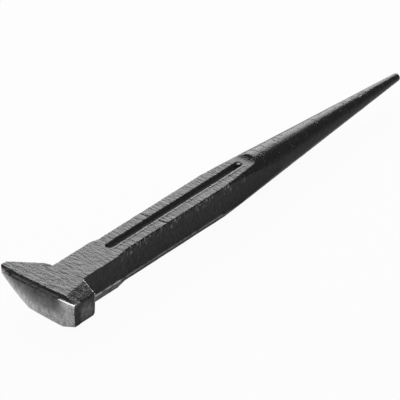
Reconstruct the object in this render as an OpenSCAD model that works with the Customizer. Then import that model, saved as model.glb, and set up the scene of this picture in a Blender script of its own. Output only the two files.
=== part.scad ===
// Peening anvil with a driving spike, forged in one length from a bar.
// It lies on its flat underside: X runs along the bar from the head to the
// spike, Y across it towards the long wing of the head, and Z is up.
// The origin is on the underside, midway across the bar, at the shoulder
// where the neck starts to narrow to the shank.

/* [Bar] */
// Height of the bar, underside to top
bar_h = 19.5; // [16:0.5:26]
// Width of the bar at its top and at its underside
top_w = 18.2; // [14:0.2:20]
// Width of the bar at the flash line, where the forging dies met
flash_w = 21; // [19:0.2:26]
// Height of the flash line above the underside
flash_z = 3.5; // [2:0.1:7]

/* [Neck and shank] */
// Length of the neck from the head's seat to the shoulder, on the bar's axis
neck_l = 30; // [20:1:60]
// Length of the ramps that narrow the neck to the shank
ramp_l = 6.6; // [2:0.1:10]
// Length of the shank from the ramps to the start of the spike
shank_l = 83.4; // [60:0.2:140]

/* [Groove] */
// Distance of the groove's near end from the shoulder
groove_start = 2.4; // [1:0.1:10]
// Length of the groove over its round ends
groove_l = 116.8; // [60:0.2:118]
// Width of the groove
groove_w = 4.8; // [2:0.1:8]
// Depth of the groove
groove_d = 3.4; // [1:0.1:6]
// Radius of the rounded edges along the groove's floor
groove_floor_r = 1; // [0.2:0.1:1.6]

/* [Spike] */
// Length of the spike, tip included
spike_l = 178.4; // [100:0.2:240]
// Radius of the spike's cone where it leaves the shank
cone_r = 13.4; // [12:0.1:16]
// Radius of the rounded tip
tip_r = 2.3; // [1:0.1:4]
// Rise of the tip above the middle of the bar's height
tip_rise = 1.1; // [0:0.1:3]
// Length of the top flat that runs on over the spike
top_flat_l = 33.5; // [10:0.5:60]
// Radius of the curve by which the top flat climbs to the cone
top_flat_r = 6; // [2:0.5:12]

/* [Head] */
// Depth of the head, front to back
head_d = 19; // [14:0.1:30]
// Depth of the ground slab that carries the working face
face_d = 3.5; // [2:0.1:6]
// Radius of the working face's crown across the head
crown_across_r = 310; // [120:10:600]
// Radius of the working face's crown from the underside to the top
crown_upright_r = 61; // [20:1:120]
// Distance from the bar's axis to the middle of the crown, towards the heel
crown_shift = 3; // [0:0.5:8]
// Height of the crown's foremost line above the underside
crown_z = 16; // [6:0.5:18]
// Width of the unground chamfer between the top and the working face
front_chamfer = 2.4; // [0.8:0.1:3]

/* [Wing] */
// Reach of the wing from the bar's axis
wing_reach = 32.4; // [26:0.1:45]
// Taper of the wing's back, measured from the head's back face
wing_taper = 36; // [25:1:45]
// Radius between the head's back face and the wing's tapered back
wing_corner_r = 3; // [1:0.5:6]
// Thickness of the wing at its tip, front to back
wing_tip_d = 5.6; // [4:0.1:9]
// Bevel on the front corner of the wing's tip
wing_tip_bevel = 2.4; // [1:0.1:3.8]
// Slight rise of the head's underside from the heel towards the wing
under_lift = 5.5; // [0:0.5:8]
// Distance from the bar's axis at which the wing's underside bends up
wing_rise_y = 9.1; // [4:0.1:12]
// Slope of the wing's underside
wing_rise = 36.5; // [15:0.5:38]
// Radius of the bend from the underside to the wing's slope
wing_rise_r = 4; // [1:0.5:10]

/* [Heel] */
// Reach of the heel from the bar's axis
heel_reach = 21.4; // [18:0.1:26]
// Slant of the heel's back face from square to the bar
heel_slant = 16; // [0:0.5:30]
// Distance from the bar's axis to the heel's top chamfer, at the face
heel_top_y = 14.1; // [12.5:0.1:15.5]
// Slope of the heel's top chamfer
heel_top_slope = 17; // [8:0.5:40]
// Flare of the heel's top chamfer towards the face
heel_top_flare = 9; // [0:0.5:10]
// Distance from the bar's axis to the heel's bottom chamfer
heel_under_y = 12.6; // [10.5:0.1:15]
// Slope of the heel's bottom chamfer
heel_under_slope = 21; // [5:0.5:30]

/* [Hidden] */
// Longer than any feature that it cuts
reach = 120;
// Overrun of a cut past the surface that it opens
over = 1;
half_h = bar_h / 2;
// Narrowing of the bar from the flash line to its top, on each side
side_run = (flash_w - top_w) / 2;
// Stations along the bar
shank_x = ramp_l;
spike_x = shank_x + shank_l;
tip_x = spike_x + spike_l;
step_x = spike_x + top_flat_l;
face_x = -neck_l - head_d;
// Points on each rounded outline
arc_steps = 12;
// Smoothness of the turned surfaces
$fn = 96;

function arc(centre, r, from, to) = [
    for (i = [0 : arc_steps])
        let (a = from + (to - from) * i / arc_steps)
        centre + r * [cos(a), sin(a)]
];

// Section of the bar, carried up past its top by rise along the same sloping sides
function bar_section(rise = 0) =
    let (
        slope = side_run / (bar_h - flash_z),
        crest = top_w / 2 - slope * rise
    )
    [
        [-top_w / 2, 0], [top_w / 2, 0], [flash_w / 2, flash_z],
        [crest, bar_h + rise], [-crest, bar_h + rise], [-flash_w / 2, flash_z]
    ];

// Stands a Y-Z outline up and runs it along the bar
module along_bar(from, to)
    translate([from, 0, 0])
        rotate([90, 0, 90])
            linear_extrude(to - from) children();

// Everything that lies deeper than depth behind the head's top front edge
module deeper_than(depth)
    translate([face_x + depth, -reach / 2, -over])
        cube([reach, reach, bar_h + 2 * over]);

// Outline of the head from above, before the heel is cut
module wing_plan() {
    back_y = wing_reach - (head_d - wing_tip_d) / tan(wing_taper);
    setback = wing_corner_r * tan(wing_taper / 2);
    polygon(concat(
        [[-reach / 2, -reach / 2], [head_d, -reach / 2]],
        arc([head_d - wing_corner_r, back_y - setback], wing_corner_r, 0, wing_taper),
        [[wing_tip_d, wing_reach], [wing_tip_bevel, wing_reach]],
        [[0, wing_reach - wing_tip_bevel], [-reach / 2, wing_reach - wing_tip_bevel - reach / 2]]
    ));
}

// Outline of the head from above, with the heel's end and slanted back
module head_plan()
    difference() {
        translate([face_x, 0]) wing_plan();
        translate([-reach, -heel_reach - reach]) square([2 * reach, reach]);
        translate([-neck_l, -flash_w / 2])
            rotate(-heel_slant)
                translate([0, -reach]) square([reach, reach]);
    }

// Outline of the head from the front: near-flat underside, rising wing, chamfered heel
module head_front() {
    bend_z = (wing_rise_y + heel_under_y) * tan(under_lift);
    bend_centre = [wing_rise_y, bend_z] + wing_rise_r * [-sin(under_lift), cos(under_lift)];
    bend = arc(bend_centre, wing_rise_r, under_lift - 90, wing_rise - 90);
    wing_foot = bend[arc_steps];
    wing_run = wing_reach + over - wing_foot[0];
    heel_drop = (heel_reach - heel_under_y) * tan(heel_under_slope);
    polygon(concat(
        [[-heel_reach, bar_h], [-heel_reach, heel_drop], [-heel_under_y, 0]],
        bend,
        [[wing_foot[0] + wing_run, wing_foot[1] + wing_run * tan(wing_rise)]],
        [[wing_foot[0] + wing_run, bar_h]]
    ));
}

// Barrel-shaped body whose skin is the crown of the working face. Its upper
// rim is turned down at 45 degrees into the unground chamfer
module crown_barrel() {
    face_r = crown_across_r + front_chamfer;
    rim_z = bar_h + over;
    translate([face_x + crown_across_r, -crown_shift, 0])
        rotate_extrude($fn = 360)
            intersection() {
                translate([face_r - crown_upright_r, crown_z]) circle(crown_upright_r);
                polygon([
                    [0, -over], [crown_across_r + rim_z, -over],
                    [crown_across_r - over, rim_z], [0, rim_z]
                ]);
            }
}

// Cuts the heel's sloping top chamfer, which flares towards the face
module heel_top_cut()
    translate([face_x, -heel_top_y, bar_h])
        rotate([0, 0, heel_top_flare])
            rotate([heel_top_slope, 0, 0])
                translate([-reach / 2, -reach, 0]) cube([reach, reach, reach]);

// The whole head, working face included
module head_form()
    difference() {
        intersection() {
            linear_extrude(bar_h) head_plan();
            along_bar(-reach, reach / 2) head_front();
            crown_barrel();
        }
        heel_top_cut();
    }

// Shaves the neck's side from the shoulder to the narrower shank. The cut's
// foot is the flash line, so it fades out there from above and from below
module shoulder_cut(side, from_z, rise) {
    turn = atan(side_run / ramp_l);
    lean = atan(side_run * cos(turn) / abs(rise));
    mirror([0, side > 0 ? 1 : 0, 0])
        translate([0, -flash_w / 2, from_z])
            rotate([0, 0, turn])
                rotate([rise > 0 ? -lean : lean, 0, 0])
                    translate([-reach / 2, -reach, -reach / 2])
                        cube([reach, reach, reach]);
}

// Groove with round ends and rounded floor edges, cut into the top face
module groove() {
    half_w = groove_w / 2;
    far_x = groove_start + groove_l - half_w;
    near_x = groove_start + half_w;
    floor_z = bar_h - groove_d;
    module round_end(x)
        translate([x, 0, floor_z])
            rotate_extrude()
                round_floor_half();
    module round_floor_half() {
        translate([0, groove_floor_r]) square([half_w, groove_d]);
        square([half_w - groove_floor_r, groove_d]);
        translate([half_w - groove_floor_r, groove_floor_r]) circle(groove_floor_r);
    }
    round_end(near_x);
    round_end(far_x);
    along_bar(near_x, far_x)
        translate([0, floor_z]) {
            round_floor_half();
            mirror([1, 0]) round_floor_half();
        }
}

module working_face()
    color("silver")
        difference() {
            head_form();
            deeper_than(face_d);
        }

module head()
    color("dimgray")
        intersection() {
            head_form();
            deeper_than(face_d);
        }

module neck()
    color("dimgray")
        difference() {
            intersection() {
                along_bar(-reach, shank_x)
                    translate([-flash_w / 2, 0]) square([flash_w, bar_h]);
                deeper_than(head_d);
            }
            for (side = [-1, 1]) {
                shoulder_cut(side, bar_h, bar_h - flash_z);
                shoulder_cut(side, 0, -flash_z);
            }
            groove();
        }

module shank()
    color("dimgray")
        difference() {
            along_bar(shank_x, spike_x) polygon(bar_section());
            groove();
        }

module spike() {
    crest_rise = cone_r;
    cone_l = spike_l - tip_r;
    narrowing = (cone_r - tip_r) / cone_l;
    lean = atan(tip_rise / spike_l);
    color("dimgray")
        difference() {
            intersection() {
                along_bar(spike_x, tip_x) polygon(bar_section(crest_rise));
                // the cone, which starts a little way back inside the shank
                translate([spike_x, 0, half_h])
                    rotate([0, 90 - lean, 0]) {
                        translate([0, 0, -over])
                            cylinder(h = cone_l + over, r1 = cone_r + over * narrowing, r2 = tip_r);
                        translate([0, 0, cone_l]) sphere(tip_r);
                    }
            }
            // the flat top, which climbs in a curve to the cone at its end
            translate([0, -reach / 2, bar_h])
                cube([step_x, reach, reach]);
            translate([step_x, 0, bar_h + top_flat_r])
                rotate([90, 0, 0])
                    cylinder(h = reach, r = top_flat_r, center = true);
            groove();
        }
}

working_face();
head();
neck();
shank();
spike();
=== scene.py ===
"""Peening anvil with a driving spike, lying on a pale studio floor."""

import math

import bpy
import numpy as np
from mathutils import Matrix, Vector, noise


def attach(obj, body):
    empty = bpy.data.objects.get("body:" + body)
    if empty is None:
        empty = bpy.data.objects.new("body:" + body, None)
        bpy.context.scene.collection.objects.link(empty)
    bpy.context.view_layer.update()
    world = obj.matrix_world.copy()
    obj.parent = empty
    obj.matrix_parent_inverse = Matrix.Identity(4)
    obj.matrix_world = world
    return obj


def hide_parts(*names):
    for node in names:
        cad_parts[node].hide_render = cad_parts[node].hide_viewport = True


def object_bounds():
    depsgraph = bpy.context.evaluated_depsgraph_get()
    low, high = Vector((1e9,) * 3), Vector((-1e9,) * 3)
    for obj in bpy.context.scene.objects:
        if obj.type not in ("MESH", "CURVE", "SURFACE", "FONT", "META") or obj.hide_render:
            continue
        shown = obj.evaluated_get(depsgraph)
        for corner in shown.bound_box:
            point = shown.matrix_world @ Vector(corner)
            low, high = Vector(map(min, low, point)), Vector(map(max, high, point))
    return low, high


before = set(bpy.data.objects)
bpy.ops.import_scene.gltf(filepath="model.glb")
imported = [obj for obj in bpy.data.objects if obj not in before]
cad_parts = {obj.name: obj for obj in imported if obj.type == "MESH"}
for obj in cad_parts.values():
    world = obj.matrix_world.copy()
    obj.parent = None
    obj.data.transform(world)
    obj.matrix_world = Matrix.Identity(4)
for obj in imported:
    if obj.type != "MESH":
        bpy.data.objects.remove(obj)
cad_box = [list(corner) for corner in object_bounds()]

# Sizes of the forging in millimetres, as the solids have them
MM = 0.001
BAR_HEIGHT = 19.5
FLASH_HALF = 10.5
FLASH_HEIGHT = 3.5
NECK_BACK = -30.0
RAMP_END = 6.6
GROOVE_DEPTH = 3.4
SPIKE_START = 90.0
SPIKE_END = 268.4
CONE_RADIUS = 13.4
TIP_RADIUS = 2.3
TIP_RISE = 1.1
FACE_FRONT = -49.0
FACE_SEAT = -45.5
WING_REACH = 32.4
HEEL_REACH = 21.4
CROWN_ACROSS = 310.0
CROWN_UPRIGHT = 61.0
CROWN_MIDDLE = -3.0
CROWN_HEIGHT = 16.0
CREASE_HEIGHT = 17.11
CHAMFER = 2.4

# Sizes that follow the photo more closely than the solids do
GROOVE_RADIUS = 1.9
GROOVE_MIDDLE = 0.5
GROOVE_NEAR = 4.5
GROOVE_FAR = 117.2
FLAT_END = 121.4
FLAT_CURVE = 12.0
BLUNT_START = 264.3
BLUNT_BULGE = 0.9

# How far blanks that the remesh fuses run into each other
OVERLAP = 2.0


# Modelling helpers

def select_only(piece):
    bpy.ops.object.select_all(action="DESELECT")
    piece.select_set(True)
    bpy.context.view_layer.objects.active = piece


def settle(name):
    """Puts the active primitive's place and size into its mesh, and names it."""
    piece = bpy.context.object
    piece.name = name
    select_only(piece)
    bpy.ops.object.transform_apply(location=True, rotation=True, scale=True)
    return piece


def block(name, low, high):
    centre = [(a + b) / 2 * MM for a, b in zip(low, high)]
    size = [(b - a) * MM for a, b in zip(low, high)]
    bpy.ops.mesh.primitive_cube_add(size=1, location=centre, scale=size)
    return settle(name)


def shave(piece, point, outward):
    """Cuts off all that lies beyond a plane, and closes the cut."""
    select_only(piece)
    bpy.ops.object.mode_set(mode="EDIT")
    bpy.ops.mesh.select_all(action="SELECT")
    bpy.ops.mesh.bisect(
        plane_co=[c * MM for c in point], plane_no=Vector(outward).normalized(),
        use_fill=True, clear_outer=True, threshold=1e-7,
    )
    bpy.ops.object.mode_set(mode="OBJECT")


def carve(piece, cutter):
    cut = piece.modifiers.new("cut", "BOOLEAN")
    cut.operation = "DIFFERENCE"
    cut.solver = "EXACT"
    cut.object = cutter
    select_only(piece)
    bpy.ops.object.modifier_apply(modifier=cut.name)


def discard(piece):
    bpy.data.objects.remove(piece, do_unlink=True)


def weld(name, parts):
    """Joins overlapping parts, which the remesh then fuses."""
    select_only(parts[0])
    for part in parts:
        part.select_set(True)
    bpy.ops.object.join()
    body = bpy.context.object
    body.name = name
    return body


# Shapes of the forging

def direction(angle):
    return math.cos(math.radians(angle)), math.sin(math.radians(angle))


def shave_underside(piece):
    """It climbs a little from the heel's chamfer, then bends up into the wing's slope."""
    heel_edge, bend_start, bend_radius = -12.6, 9.1, 4.0
    heel_slope, lift, rise = -21, 5.5, 36.5
    along, up = direction(heel_slope)
    shave(piece, (0, heel_edge, 0), (0, up, -along))
    shave(piece, (0, heel_edge, 0), (0, direction(lift)[1], -direction(lift)[0]))
    along, up = direction(lift)
    bend_z = (bend_start - heel_edge) * up / along
    centre_y = bend_start - bend_radius * up
    centre_z = bend_z + bend_radius * along
    for angle in ((lift + rise) / 2, rise):
        along, up = direction(angle)
        foot = (0, centre_y + bend_radius * up, centre_z - bend_radius * along)
        shave(piece, foot, (0, up, -along))


def shape_head_outline(piece):
    """Wing, heel and underside of the cross head, cut out of a block."""
    wing_corner, wing_draft = 2.4, 0.9
    for angle, point in ((36, (-43.4, WING_REACH, 0)), (18, (-30.55, 14.0, 0))):
        shave(piece, point, (*direction(angle), 0))
    shave(piece, (FACE_FRONT + wing_corner, WING_REACH, 0), (-1, 1, 0))
    shave(piece, (0, WING_REACH - wing_draft, BAR_HEIGHT), (0, 1.9, wing_draft))
    heel_back, heel_flare, heel_fall = -16, 9, 17
    shave(piece, (NECK_BACK, -FLASH_HALF, 0), (*direction(heel_back), 0))
    shave_underside(piece)
    shave(piece, (-33.55, -21.1, 3.84), (0.961, -0.634, -0.934))
    along, aside = direction(heel_flare)
    level, fall = direction(heel_fall)
    shave(piece, (FACE_FRONT, -14.1, BAR_HEIGHT), (fall * aside, -fall * along, level))


def make_head():
    low = (FACE_SEAT - OVERLAP, -HEEL_REACH, 0)
    high = (NECK_BACK, WING_REACH, BAR_HEIGHT)
    head = block("head_blank", low, high)
    shape_head_outline(head)
    return head


def make_neck():
    """The wide neck, whose drafted sides close in towards the shank."""
    low = (NECK_BACK - OVERLAP, -FLASH_HALF, 0)
    high = (RAMP_END, FLASH_HALF, BAR_HEIGHT)
    neck = block("neck_blank", low, high)
    for side in (-1, 1):
        upper_draft = (22.4, side * 105.6, 9.24)
        lower_draft = (4.9, side * 23.1, -9.24)
        shave(neck, (0, side * FLASH_HALF, BAR_HEIGHT), upper_draft)
        shave(neck, (0, side * FLASH_HALF, 0), lower_draft)
    return neck


def shape_bar_sides(piece):
    """Drafted sides above and below the flash line."""
    draft = 1.4
    for side in (-1, 1):
        flash = (0, side * FLASH_HALF, FLASH_HEIGHT)
        shave(piece, flash, (0, side * (BAR_HEIGHT - FLASH_HEIGHT), draft))
        shave(piece, flash, (0, side * FLASH_HEIGHT, -draft))


def make_bar():
    low = (NECK_BACK - OVERLAP, -FLASH_HALF, 0)
    high = (SPIKE_START + OVERLAP / 2, FLASH_HALF, BAR_HEIGHT)
    bar = block("bar_blank", low, high)
    shape_bar_sides(bar)
    return bar


def make_spike():
    """A leaning cone cut by the bar's flats, with a curved run-out, and its blunt tip."""
    taper = (CONE_RADIUS - TIP_RADIUS) / (SPIKE_END - SPIKE_START - TIP_RADIUS)
    length = BLUNT_START - SPIKE_START
    end_radius = CONE_RADIUS - taper * length
    lean = math.atan(TIP_RISE / (SPIKE_END - SPIKE_START))
    run, rise = math.cos(lean), math.sin(lean)
    middle_x = SPIKE_START + length / 2 * run
    middle_z = BAR_HEIGHT / 2 + length / 2 * rise
    bpy.ops.mesh.primitive_cone_add(
        vertices=160, radius1=CONE_RADIUS * MM, radius2=end_radius * MM, depth=length * MM,
        location=(middle_x * MM, 0, middle_z * MM), rotation=(0, math.radians(90) - lean, 0),
    )
    spike = settle("spike_blank")
    shape_bar_sides(spike)
    shave(spike, (0, 0, 0), (0, 0, -1))
    clear = 20
    low = (SPIKE_START - OVERLAP, -clear, BAR_HEIGHT)
    top = block("top_cut", low, (FLAT_END, clear, 2 * clear))
    carve(spike, top)
    discard(top)
    bpy.ops.mesh.primitive_cylinder_add(
        vertices=96, radius=FLAT_CURVE * MM, depth=2 * clear * MM,
        location=(FLAT_END * MM, 0, (BAR_HEIGHT + FLAT_CURVE) * MM),
        rotation=(math.radians(90), 0, 0),
    )
    run_out = settle("run_out_cut")
    carve(spike, run_out)
    discard(run_out)
    end_x = SPIKE_START + length * run
    end_z = BAR_HEIGHT / 2 + length * rise
    bpy.ops.mesh.primitive_uv_sphere_add(
        segments=48, ring_count=24, radius=end_radius * MM, scale=(BLUNT_BULGE / end_radius, 1, 1),
        location=(end_x * MM, 0, end_z * MM),
    )
    return [spike, settle("tip_blank")]


def make_groove_cutter():
    """A cylinder pulled out into a slot, with its floor edge rounded."""
    floor_radius, tolerance = 1.0, 0.01
    bpy.ops.mesh.primitive_cylinder_add(
        vertices=48, radius=GROOVE_RADIUS * MM, depth=2 * GROOVE_DEPTH * MM,
        location=(GROOVE_NEAR * MM, GROOVE_MIDDLE * MM, BAR_HEIGHT * MM),
    )
    cutter = settle("groove_cut")
    bpy.ops.object.mode_set(mode="EDIT")
    bpy.ops.mesh.select_all(action="DESELECT")
    bpy.ops.object.mode_set(mode="OBJECT")
    for vertex in cutter.data.vertices:
        vertex.select = vertex.co.x > (GROOVE_NEAR + tolerance) * MM
    bpy.ops.object.mode_set(mode="EDIT")
    bpy.ops.transform.translate(value=((GROOVE_FAR - GROOVE_NEAR) * MM, 0, 0))
    bpy.ops.mesh.select_all(action="DESELECT")
    bpy.ops.object.mode_set(mode="OBJECT")
    floor_z = (BAR_HEIGHT - GROOVE_DEPTH) * MM
    for edge in cutter.data.edges:
        ends = [cutter.data.vertices[i].co.z for i in edge.vertices]
        edge.select = max(ends) < floor_z + 1e-6
    bpy.ops.object.mode_set(mode="EDIT")
    bpy.ops.mesh.bevel(offset=floor_radius * MM, segments=4)
    bpy.ops.object.mode_set(mode="OBJECT")
    return cutter


def make_groove_beads():
    """Two small beads that the hammer left against the far end of the groove."""
    radius = 0.8
    beads = []
    for place in ((117.9, 1.4, 18.25), (118.6, 0.7, 18.25)):
        bpy.ops.mesh.primitive_uv_sphere_add(
            segments=24, ring_count=12, radius=radius * MM, location=[c * MM for c in place],
        )
        beads.append(settle("bead"))
    return beads


def forge():
    """The whole forging in one skin: fused, worn round at its edges, and uneven."""
    groove = make_groove_cutter()
    neck = make_neck()
    bar = make_bar()
    spike, tip = make_spike()
    for part in (neck, bar, spike):
        carve(part, groove)
    discard(groove)
    body = weld("forging", [make_head(), neck, bar, spike, tip, *make_groove_beads()])

    skin = body.modifiers.new("skin", "REMESH")
    skin.mode = "VOXEL"
    skin.voxel_size = 0.42 * MM
    wear = body.modifiers.new("wear", "SMOOTH")
    wear.factor = 0.5
    wear.iterations = 4
    for name, size, depth in (("hammered", 14, 0.22), ("scaled", 3.2, 0.07)):
        pattern = bpy.data.textures.new(name, "CLOUDS")
        pattern.noise_scale = size * MM
        pattern.noise_depth = 2
        uneven = body.modifiers.new(name, "DISPLACE")
        uneven.texture = pattern
        uneven.texture_coords = "LOCAL"
        uneven.strength = depth * MM
        uneven.mid_level = 0.5
    select_only(body)
    for modifier in list(body.modifiers):
        bpy.ops.object.modifier_apply(modifier=modifier.name)
    return body


def read_points(mesh, field="co"):
    values = np.empty(len(mesh.vertices) * 3)
    mesh.vertices.foreach_get(field, values)
    return values.reshape(-1, 3)


def raise_flash(points):
    """The trimmed flash stands proud along both sides, more in some places than in others."""
    half_width, height = 0.75, 0.24
    side_start, side_end = 9.4, 11.5
    x, y, z = points.T
    near = np.clip(1 - np.abs(z - FLASH_HEIGHT) / half_width, 0, 1)
    wavy = height + 0.07 * np.sin(x * 0.21) + 0.05 * np.sin(x * 0.83 + 1.3)
    on_side = np.clip((np.abs(y) - side_start) / 0.4, 0, 1) * (np.abs(y) < side_end)
    points[:, 1] += np.sign(y) * near * wavy * on_side * (x > NECK_BACK)


def raise_groove_lips(points):
    """The near lip of the groove is worn round, and a low burr stands beside it."""
    start, end, burr_height, worn_depth = 3, 119, 0.2, 0.5
    x, y, z = points.T
    on_top = z > BAR_HEIGHT - 0.6
    along = on_top * np.clip((x - start) / 3, 0, 1) * np.clip((end - x) / 2, 0, 1)
    worn = np.clip((y + 2.9) / 1.5, 0, 1) ** 2 * (y < 0)
    burr = np.exp(-((y + 3.25) / 0.4) ** 2)
    points[:, 2] += (burr_height * burr - worn_depth * worn) * along


# Laps that the hammer folded across the top: from, to and depth of each
LAPS = [
    ((40.4, 8.6, 19.5), (41.4, 3.2, 19.5), 0.14),
    ((42.0, -3.2, 19.5), (42.5, -6.4, 19.5), 0.32),
    ((42.5, -6.4, 19.5), (43.6, -9.2, 19.5), 0.32),
]


def fold_laps(points):
    half_width = 0.5
    for start, end, depth in LAPS:
        gap = away_from(points, start, end)
        points[:, 2] -= depth * np.exp(-(gap / half_width) ** 2)


def roughen_top_edges(points, normals):
    """Scale broke away here and there along the top edges."""
    x, y, z = points.T
    tilt = normals[:, 2]
    on_edge = (tilt > 0.3) & (tilt < 0.93) & (z > BAR_HEIGHT - 3.2) & (x < SPIKE_START + 12)
    in_groove = (np.abs(y) < 3.6) & (x > 0) & (x < 121)
    for i in np.flatnonzero(on_edge & ~in_groove):
        chip = 0.1 + noise.noise(Vector(points[i]) * 0.62)
        points[i] -= normals[i] * 1.3 * max(chip, 0)


def wear_down(body):
    """Flash, burrs and broken edges of the forging, kept inside the box of the solids."""
    mesh = body.data
    points = read_points(mesh) / MM
    raise_flash(points)
    raise_groove_lips(points)
    fold_laps(points)
    roughen_top_edges(points, read_points(mesh, "normal"))
    points = np.clip(points * MM, np.array(cad_box[0]), np.array(cad_box[1]))
    mesh.vertices.foreach_set("co", points.ravel())
    mesh.update()


# Worn edges, painted highlights and painted reflections: from, to, half width and strength of each
# length
FORGING_WEAR_AND_HIGHLIGHTS = [
    ((-30.3, -11.4, 19.2), (-32.4, -19.1, 17.2), 0.7, 1.0),
    ((-33.0, -21.3, 16.2), (-33.0, -21.3, 12.0), 0.7, 1.0),
    ((-33.0, -21.3, 12.0), (-33.0, -21.3, 4.5), 0.5, 0.3),
    # A painted lighter reflection on the heel's end face
    ((-39.5, -21.4, 8.5), (-41.0, -21.4, 9.5), 4.5, 0.22),
    # A painted highlight along the neck's flash line
    ((-25.0, -10.6, 3.7), (1.0, -10.6, 3.6), 0.6, 1.0),
    # A painted reflection of a bright floor on the neck's lower band
    ((-25.0, -10.0, 1.6), (2.0, -10.0, 1.6), 1.3, 0.36),
    # A painted reflection of a bright floor along the spike's lower rim
    ((90.0, -9.9, 1.9), (118.0, -9.9, 2.3), 1.3, 0.3),
    ((112.0, -10.3, 3.6), (128.0, -9.7, 4.3), 1.1, 0.16),
    ((124.0, -9.8, 4.3), (140.0, -8.8, 4.8), 1.3, 0.28),
    ((136.0, -9.1, 4.7), (186.0, -6.3, 6.4), 1.4, 0.42),
    ((182.0, -6.5, 6.3), (204.0, -5.2, 7.1), 1.2, 0.26),
    ((200.0, -5.4, 7.0), (222.0, -4.2, 7.8), 1.0, 0.13),
    # A painted glint on the beads at the groove's far end
    ((117.9, 1.3, 18.9), (118.5, 0.7, 18.9), 0.5, 1.2),
    # Painted highlights along the flash lines of both sides
    ((1.0, -10.6, 3.5), (90.0, -10.6, 3.5), 0.6, 0.42),
    ((-25.0, 10.6, 3.6), (90.0, 10.6, 3.5), 0.5, 0.2),
]
# Painted highlights and painted reflections on the face, and two lengths that lighten the wing's
# tip
FACE_HIGHLIGHTS_AND_WEAR = [
    # A painted highlight along the crease at the heel
    ((-50.6, -11.5, 17.11), (-50.0, -21.4, 17.11), 0.5, 1.0),
    # A painted reflection of a rounded edge just above the crease
    ((-49.6, 22.0, 17.9), (-50.6, -3.0, 17.9), 0.5, 0.15),
    ((-50.6, -3.0, 17.9), (-50.5, -10.0, 17.9), 0.5, 0.15),
    ((-50.1, 25.0, 17.3), (-49.8, 28.0, 17.5), 0.8, 0.22),
    ((-49.8, 28.0, 17.5), (-49.3, 31.5, 17.7), 1.0, 0.6),
    # A painted reflection of a bright floor along the wing's lower edge and the bottom
    ((-49.2, 30.5, 16.2), (-50.4, 9.5, 2.6), 1.4, 0.5),
    ((-50.4, 9.5, 2.2), (-50.4, -12.0, 0.2), 1.0, 0.6),
]


def away_from(points, start, end):
    """Distance of each point from a straight length between two places, in millimetres."""
    start, end = np.array(start), np.array(end)
    run = end - start
    along = np.clip((points - start) @ run / (run @ run), 0, 1)
    return np.linalg.norm(points - start - along[:, None] * run, axis=1)


def edge_wear_and_highlights(piece, lengths):
    """How far each point is worn to steel along these lengths, where 1 is steel with no scale:
    real wear on some lengths, painted highlights and painted reflections on others.
    """
    points = read_points(piece.data) / MM
    patchy = np.array([noise.noise(Vector(point) * 0.4) for point in points])
    uneven = np.clip(0.85 + 0.9 * patchy, 0.3, 1)
    wear = np.zeros(len(points))
    for start, end, width, strength in lengths:
        gap = away_from(points, start, end)
        wear = np.maximum(wear, strength * uneven * np.clip(1.5 - gap / width, 0, 1))
    return wear


def add_attribute(piece, name, values):
    layer = piece.data.attributes.new(name, "FLOAT", "POINT")
    layer.data.foreach_set("value", values)


def paint_flakes(body, wear):
    """Scale flaked off in short streaks below the near top edge."""
    lowest, most = 14.5, 0.28
    x, y, z = read_points(body.data).T / MM
    below_edge = (y < -8.4) & (z > lowest) & (z < 19.4) & (x > 2) & (x < 112)
    for i in np.flatnonzero(below_edge):
        streak = noise.noise(Vector((x[i] * 0.9, 3.0, z[i] * 0.35)))
        crowd = noise.noise(Vector((x[i] * 0.11, 9.0, 0.0))) + 0.35
        fade = (z[i] - lowest) / 4.9
        flaked = max(streak - 0.12, 0) * 2.6 * max(crowd, 0) * fade
        wear[i] = max(wear[i], min(flaked, most))


def paint_groove_dust(body):
    """Grey dust lies in the groove."""
    x, y, z = read_points(body.data).T / MM
    inside = (np.abs(y) < 2.7) & (x > 2) & (x < 119.6)
    add_attribute(body, "dust", np.where(inside, np.clip((BAR_HEIGHT - 0.2 - z) / 0.5, 0, 1), 0.0))


def smooth_step(value):
    value = np.clip(value, 0, 1)
    return value * value * (3 - 2 * value)


def paint_face_shade(piece):
    """Painted shade on the face: a dark band under its crease, a painted reflection of dark
    surroundings that fades out below and towards the heel, and dark nicks along the heel's edge.
    """
    heel_start = -19.0
    x, y, z = read_points(piece.data).T / MM
    edge = 7.3 + 0.0105 * (y + 2) ** 2
    painted_shade_and_nicks = 0.64 * smooth_step((z - edge + 2.6) / 5.2) + 0.36 * smooth_step((z - edge) / 9)
    painted_shade_and_nicks *= smooth_step((y + 17.5) / 9)
    for i in np.flatnonzero(y < heel_start):
        nick = noise.noise(Vector((y[i] * 0.5, 7.0, z[i] * 0.9)))
        painted_shade_and_nicks[i] = min(max(nick + 0.15, 0) * 1.6 * (heel_start - y[i]) / 2.4, 0.8)
    add_attribute(piece, "shade", painted_shade_and_nicks)


def part_off(body, name, start, end):
    """One length of the forging between two stations. The last runs on to the tip."""
    piece = body.copy()
    piece.data = body.data.copy()
    piece.name = name
    bpy.context.collection.objects.link(piece)
    shave(piece, (start, 0, 0), (-1, 0, 0))
    if end is not None:
        shave(piece, (end, 0, 0), (1, 0, 0))
    finish_surface(piece)
    return piece


def finish_surface(piece):
    select_only(piece)
    bpy.ops.object.shade_smooth_by_angle(angle=math.radians(35))


def crown_front(y, z):
    """Station of the head's front: the ground crown, and the chamfer above its crease."""
    across = (y - CROWN_MIDDLE) ** 2 / (2 * CROWN_ACROSS)
    upright = (z - CROWN_HEIGHT) ** 2 / (2 * CROWN_UPRIGHT)
    crown = FACE_FRONT - CHAMFER + upright
    chamfer = FACE_FRONT - (BAR_HEIGHT - z)
    return across + (crown if z < CREASE_HEIGHT else chamfer)


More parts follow.
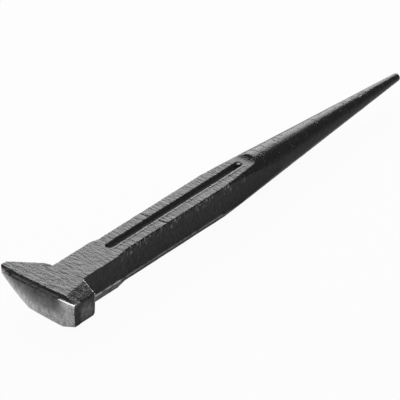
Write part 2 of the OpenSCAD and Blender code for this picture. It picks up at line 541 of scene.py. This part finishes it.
def make_working_face():
    """The ground slab on the front of the head, crowned both ways."""
    columns, rows = 118, 48
    width, height = 59, 24
    half_facet = 0.38
    bpy.ops.mesh.primitive_grid_add(
        x_subdivisions=columns, y_subdivisions=rows, size=1,
        location=(FACE_SEAT * MM, 6 * MM, 9 * MM),
        rotation=(math.radians(90), 0, math.radians(-90)),
    )
    bpy.context.object.scale = (width * MM, height * MM, 1)
    face = settle("working_face_ground")
    crease = CREASE_HEIGHT * MM
    levels = sorted({round(v.co.z, 9) for v in face.data.vertices})
    above = min(z for z in levels if z > crease)
    below = max(z for z in levels if z < crease)
    for level, target in ((below, crease - half_facet * MM), (above, crease + half_facet * MM)):
        for vertex in face.data.vertices:
            if abs(vertex.co.z - level) < 1e-8:
                vertex.co.z = target
    bpy.ops.object.mode_set(mode="EDIT")
    bpy.ops.mesh.select_all(action="SELECT")
    bpy.ops.mesh.extrude_region_move(TRANSFORM_OT_translate={"value": (-1 * MM, 0, 0)})
    bpy.ops.object.mode_set(mode="OBJECT")
    for vertex in face.data.vertices:
        if vertex.co.x < (FACE_SEAT - 0.5) * MM:
            vertex.co.x = crown_front(vertex.co.y / MM, vertex.co.z / MM) * MM
    bpy.ops.object.mode_set(mode="EDIT")
    bpy.ops.mesh.select_all(action="SELECT")
    bpy.ops.mesh.normals_make_consistent(inside=False)
    bpy.ops.object.mode_set(mode="OBJECT")
    shave(face, (0, 0, BAR_HEIGHT), (0, 0, 1))
    shave(face, (0, WING_REACH, 0), (0, 1, 0))
    shave(face, (0, -HEEL_REACH, 0), (0, -1, 0))
    shape_head_outline(face)
    finish_surface(face)
    return face


def bare_the_crown(face):
    """The crown, its near crease and the wing's corner are steel. The rest stays black."""
    steel_slot, black_slot = 0, 1
    crown_tilt, crease_tilt = -0.94, -0.8
    for polygon in face.data.polygons:
        normal = polygon.normal
        on_crown = normal.x < crown_tilt
        on_crease = crown_tilt <= normal.x < crease_tilt and polygon.center.y < -10.5 * MM
        on_wing_corner = normal.x < -0.6 and normal.y > 0.6
        bare_steel_and_highlight = on_crown or on_crease or on_wing_corner
        polygon.material_index = steel_slot if bare_steel_and_highlight else black_slot


# Finishes

class Finish:
    """A material under construction, with short names for its nodes."""

    def __init__(self, name):
        self.material = bpy.data.materials.new(name)
        self.material.use_nodes = True
        self.tree = self.material.node_tree
        self.shader = self.tree.nodes["Principled BSDF"]
        self.place = self.tree.nodes.new("ShaderNodeTexCoord").outputs["Object"]

    def link(self, source, target):
        self.tree.links.new(source, target)

    def stretch(self, scale):
        """Place, scaled along each axis, so that a pattern grows long where this is small."""
        node = self.tree.nodes.new("ShaderNodeMapping")
        node.inputs["Scale"].default_value = scale
        self.link(self.place, node.inputs["Vector"])
        return node.outputs["Vector"]

    def noise(self, size, detail, roughness, place=None, swirl=0.0):
        """Noise with patches of about this size in millimetres."""
        node = self.tree.nodes.new("ShaderNodeTexNoise")
        node.inputs["Scale"].default_value = 1 / (size * MM)
        node.inputs["Detail"].default_value = detail
        node.inputs["Roughness"].default_value = roughness
        node.inputs["Distortion"].default_value = swirl
        self.link(place or self.place, node.inputs["Vector"])
        return node.outputs["Fac"]

    def attribute(self, name):
        node = self.tree.nodes.new("ShaderNodeAttribute")
        node.attribute_name = name
        return node.outputs["Fac"]

    def spread(self, source, low, high, bottom=0.0, top=1.0):
        node = self.tree.nodes.new("ShaderNodeMapRange")
        node.inputs["From Min"].default_value = low
        node.inputs["From Max"].default_value = high
        node.inputs["To Min"].default_value = bottom
        node.inputs["To Max"].default_value = top
        self.link(source, node.inputs["Value"])
        return node.outputs["Result"]

    def mix(self, share, first, second):
        node = self.tree.nodes.new("ShaderNodeMix")
        node.data_type = "RGBA"
        for source, target in ((first, node.inputs["A"]), (second, node.inputs["B"])):
            if isinstance(source, tuple):
                target.default_value = (*source, 1)
            else:
                self.link(source, target)
        self.link(share, node.inputs["Factor"])
        return node.outputs["Result"]

    def station(self):
        """Place along the bar, in metres."""
        node = self.tree.nodes.new("ShaderNodeSeparateXYZ")
        self.link(self.place, node.inputs["Vector"])
        return node.outputs["X"]

    def bump(self, height, depth, below=None, strength=None):
        node = self.tree.nodes.new("ShaderNodeBump")
        node.inputs["Distance"].default_value = depth * MM
        node.inputs["Strength"].default_value = 1.0
        if strength is not None:
            self.link(strength, node.inputs["Strength"])
        self.link(height, node.inputs["Height"])
        if below is not None:
            self.link(below, node.inputs["Normal"])
        return node.outputs["Normal"]


def black_forging():
    """Forge scale under black lacquer, wrinkled across the bar, darker on the spike."""
    deep, pale = (0.01, 0.0101, 0.0104), (0.031, 0.0312, 0.0318)
    spike_black, dust, bare_steel_and_highlight = (0.008, 0.008, 0.0083), (0.095, 0.095, 0.098), (0.9, 0.9, 0.9)
    finish = Finish("black_forging")
    shader = finish.shader
    across = finish.stretch((1, 0.32, 1))
    wrinkle = finish.noise(1.9, 3, 0.6, across, 0.35)
    grain = finish.noise(0.8, 2, 0.6)
    speckle = finish.noise(1.6, 4, 0.7)
    patches = finish.noise(3.2, 4, 0.75)
    dents = finish.spread(finish.noise(2.4, 2, 0.5, across, 0.5), 0.6, 0.68, 1.0, 0.0)
    colour = finish.mix(finish.spread(patches, 0.38, 0.62), deep, pale)
    station = finish.station()
    colour = finish.mix(finish.spread(station, 0.085, 0.115), colour, spike_black)
    dusty = finish.mix(finish.attribute("dust"), colour, dust)
    # The wear attribute turns the black to steel: real wear and flakes on some lengths, painted
    # highlights, reflections and a glint on others
    worn = finish.attribute("wear")
    finish.link(finish.mix(worn, dusty, bare_steel_and_highlight), shader.inputs["Base Color"])
    finish.link(worn, shader.inputs["Metallic"])
    finish.link(finish.spread(speckle, 0.3, 0.7, 0.27, 0.19), shader.inputs["Roughness"])
    smoother_spike = finish.spread(station, 0.104, 0.124, 1.0, 0.3)
    grainier_spike = finish.spread(station, 0.104, 0.124, 0.45, 1.0)
    relief = finish.bump(wrinkle, 0.52, strength=smoother_spike)
    relief = finish.bump(grain, 0.16, relief, grainier_spike)
    relief = finish.bump(dents, 0.2, relief)
    finish.link(relief, shader.inputs["Normal"])
    shader.inputs["Specular IOR Level"].default_value = 0.33
    shader.inputs["IOR"].default_value = 1.45
    return finish.material


def ground_steel():
    """Steel ground bright, with fine lines, scuffs and cloudy patches, painted dark where the
    shade attribute paints a reflection of shade, and painted bright along the face's lengths of
    highlights and wear.
    """
    scuffed, polished, highlight_and_wear_steel = (0.4, 0.4, 0.4), (0.84, 0.84, 0.84), (0.95, 0.95, 0.95)
    dark, painted_shade_pale = (0.07, 0.07, 0.072), (0.15, 0.15, 0.153)
    finish = Finish("ground_steel")
    shader = finish.shader
    shader.inputs["Metallic"].default_value = 1.0
    lines = finish.noise(0.35, 4, 0.6, finish.stretch((1, 0.12, 1)))
    clouds = finish.noise(7, 3, 0.55)
    scuffs = finish.noise(1.7, 4, 0.72, finish.stretch((1, 1, 0.5)))
    bright = finish.mix(finish.spread(scuffs, 0.34, 0.62), scuffed, polished)
    # Painted shade: two dark tones for the painted reflection under the crease and for the heel's
    # nicks
    painted_shade_and_nicks = finish.mix(finish.spread(finish.noise(4, 3, 0.6), 0.35, 0.65), dark, painted_shade_pale)
    shaded = finish.mix(finish.attribute("shade"), bright, painted_shade_and_nicks)
    # Painted highlights and wear from the face's lengths lighten it towards bright steel
    finish.link(finish.mix(finish.attribute("wear"), shaded, highlight_and_wear_steel), shader.inputs["Base Color"])
    finish.link(finish.spread(clouds, 0.3, 0.7, 0.3, 0.22), shader.inputs["Roughness"])
    relief = finish.bump(lines, 0.012)
    relief = finish.bump(clouds, 0.1, relief)
    finish.link(relief, shader.inputs["Normal"])
    return finish.material


def dress(piece, node, slot, *materials):
    """Gives a piece its materials, and puts it in the place of a solid."""
    for material in materials:
        piece.data.materials.append(material)
    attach(piece, "root")
    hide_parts(node)


# Camera

def aim_camera():
    half_pixel = 0.5 / 400
    lens = bpy.data.cameras.new("camera")
    lens.lens = 450
    lens.sensor_width = 36
    lens.shift_x = -half_pixel
    lens.shift_y = half_pixel
    lens.clip_start = 0.1
    lens.clip_end = 50
    camera = bpy.data.objects.new("camera", lens)
    bpy.context.collection.objects.link(camera)
    right = Vector((0.61667255, -0.78644247, 0.03497454))
    up = Vector((0.39149815, 0.34492348, 0.85308674))
    back = Vector((-0.68296718, -0.51238271, 0.52059562))
    turn = Matrix((right, up, back)).transposed()
    camera.matrix_world = Matrix.Translation((-1.772649, -1.392630, 1.426484)) @ turn.to_4x4()
    bpy.context.scene.camera = camera


# Studio

def soft_light(name, towards, distance, width, height, radiance):
    """An area lamp in this direction from the origin, facing it. Radiance 1 shows as white."""
    data = bpy.data.lights.new(name, "AREA")
    data.shape = "RECTANGLE"
    data.size = width
    data.size_y = height
    data.energy = radiance * math.pi * width * height
    lamp = bpy.data.objects.new(name, data)
    bpy.context.collection.objects.link(lamp)
    aim = Vector(towards).normalized()
    lamp.location = aim * distance
    lamp.rotation_euler = aim.to_track_quat("Z", "Y").to_euler()


def light_path_share(tree, camera, mirror):
    """How much of the plain backdrop each kind of ray sees."""
    path = tree.nodes.new("ShaderNodeLightPath")
    rays = {"Is Camera Ray": camera, "Is Glossy Ray": mirror, "Is Transmission Ray": mirror}
    shares = []
    for ray, share in rays.items():
        weight = tree.nodes.new("ShaderNodeMath")
        weight.operation = "MULTIPLY"
        weight.inputs[1].default_value = share
        tree.links.new(path.outputs[ray], weight.inputs[0])
        shares.append(weight.outputs["Value"])
    total = shares[0]
    for share in shares[1:]:
        most = tree.nodes.new("ShaderNodeMath")
        most.operation = "MAXIMUM"
        tree.links.new(total, most.inputs[0])
        tree.links.new(share, most.inputs[1])
        total = most.outputs["Value"]
    return total


def make_floor():
    """White paper just under the piece, which the camera sees almost plain white."""
    level = -0.0003
    bpy.ops.mesh.primitive_plane_add(size=30, location=(0, 0, level))
    floor = bpy.context.object
    floor.name = "floor"
    material = bpy.data.materials.new("white_paper")
    material.use_nodes = True
    tree = material.node_tree
    tree.nodes.clear()
    paper = tree.nodes.new("ShaderNodeBsdfDiffuse")
    paper.inputs["Color"].default_value = (0.88, 0.88, 0.88, 1)
    glow = tree.nodes.new("ShaderNodeEmission")
    glow.inputs["Color"].default_value = (1, 1, 1, 1)
    glow.inputs["Strength"].default_value = 1.0
    both = tree.nodes.new("ShaderNodeMixShader")
    tree.links.new(light_path_share(tree, 0.95, 0.12), both.inputs["Fac"])
    tree.links.new(paper.outputs["BSDF"], both.inputs[1])
    tree.links.new(glow.outputs["Emission"], both.inputs[2])
    result = tree.nodes.new("ShaderNodeOutputMaterial")
    tree.links.new(both.outputs["Shader"], result.inputs["Surface"])
    floor.data.materials.append(material)


def light_studio():
    """A dim pale room, a large window behind the spike, and two lamps on the wing's side."""
    world = bpy.data.worlds.new("studio")
    bpy.context.scene.world = world
    world.use_nodes = True
    tree = world.node_tree
    sky = tree.nodes["Background"]
    sky.inputs["Color"].default_value = (1, 1, 1, 1)
    strength = tree.nodes.new("ShaderNodeMapRange")
    strength.inputs["To Min"].default_value = 0.32
    strength.inputs["To Max"].default_value = 1.0
    tree.links.new(light_path_share(tree, 1.0, 0.05), strength.inputs["Value"])
    tree.links.new(strength.outputs["Result"], sky.inputs["Strength"])
    soft_light("window", (0.68, 0.53, 0.385), 2.0, 1.36, 1.56, 4.15)
    soft_light("front_card", (-0.84, 0.51, 0.14), 2.0, 0.7, 0.5, 3.4)
    soft_light("side_window", (-0.1, 0.87, 0.5), 2.0, 0.9, 0.9, 3.0)


bpy.ops.object.select_all(action="DESELECT")
forging = forge()
wear_down(forging)
forging_wear_and_highlights = edge_wear_and_highlights(forging, FORGING_WEAR_AND_HIGHLIGHTS)
paint_flakes(forging, forging_wear_and_highlights)
add_attribute(forging, "wear", forging_wear_and_highlights)
paint_groove_dust(forging)
black = black_forging()
steel = ground_steel()
lengths = [
    ("head", FACE_SEAT, NECK_BACK),
    ("neck", NECK_BACK, RAMP_END),
    ("shank", RAMP_END, SPIKE_START),
    ("spike", SPIKE_START, None),
]
for node, start, end in lengths:
    dress(part_off(forging, f"{node}_forged", start, end), node, "black_forging", black)
discard(forging)
ground = make_working_face()
add_attribute(ground, "wear", edge_wear_and_highlights(ground, FACE_HIGHLIGHTS_AND_WEAR))
paint_face_shade(ground)
dress(ground, "working_face", "ground_steel", steel, black)
bare_the_crown(ground)

aim_camera()
make_floor()
light_studio()

bpy.context.scene.view_settings.view_transform = "Standard"
